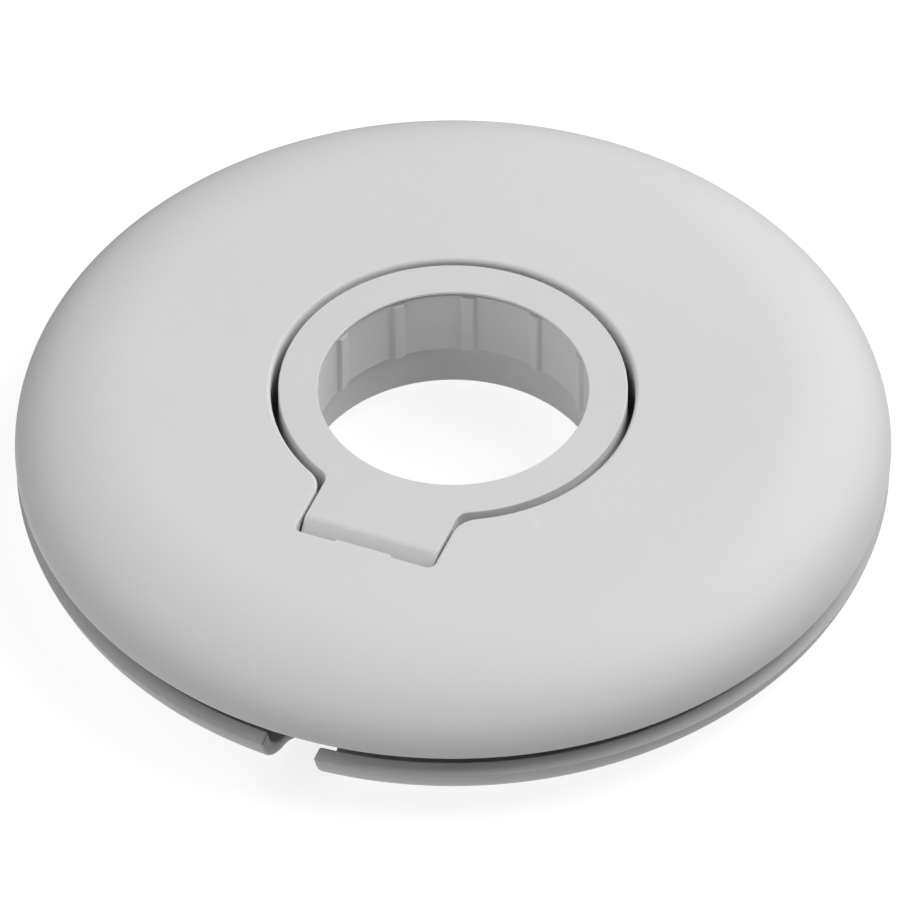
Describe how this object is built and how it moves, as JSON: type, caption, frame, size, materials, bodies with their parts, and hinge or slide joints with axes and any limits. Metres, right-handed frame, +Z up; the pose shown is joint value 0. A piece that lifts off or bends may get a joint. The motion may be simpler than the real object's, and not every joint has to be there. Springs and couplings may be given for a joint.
{
  "type": "charging puck holder",
  "caption": "Round domed desk holder for a disc-shaped charging puck: its ribbed ring flips up on a hinge, and spare cord winds under the shell behind a notched lip.",
  "frame": {"origin": "on the desk, under the middle of the disc, at the centre of the foot's underside", "axes": "+Z up, -Y towards the hinge, the tab and the cord notch, +X along the hinge; the part is mirror-symmetric about the YZ plane"},
  "size_m": [0.0908, 0.0908, 0.017],
  "materials": {
    "shell_plastic": "fine satin grain",
    "ring_plastic": "fine satin grain",
    "soft_skirt": "matte soft rubber",
    "grip_rubber": "matte soft rubber",
    "foot_rubber": "matte rubber",
    "acetal": "satin",
    "steel": "satin"
  },
  "bodies": {
    "base": {"top_shell": "shell_plastic", "hole_collar": "shell_plastic", "spool_hub": "shell_plastic", "cord_skirt": "soft_skirt", "foot_ring": "foot_rubber", "hinge_pin": "steel", "hinge_clamp": "acetal", "friction_spring": "steel", "base_screw_1": "steel", "base_screw_2": "steel", "base_screw_3": "steel", "base_screw_4": "steel", "clamp_screw_1": "steel", "clamp_screw_2": "steel"},
    "ring": {"flip_ring": "ring_plastic", "grip_sleeve": "grip_rubber", "ring_back_plate": "ring_plastic", "hinge_bush_left": "acetal", "hinge_bush_right": "acetal", "ring_screw_1": "steel", "ring_screw_2": "steel", "ring_screw_3": "steel"}
  },
  "joints": [
    {"name": "ring_flip", "type": "hinge", "parent": "base", "child": "ring", "pos_m": [0, -0.0225, 0.015], "axis": [1, 0, 0], "range_deg": [0, 90]}
  ]
}
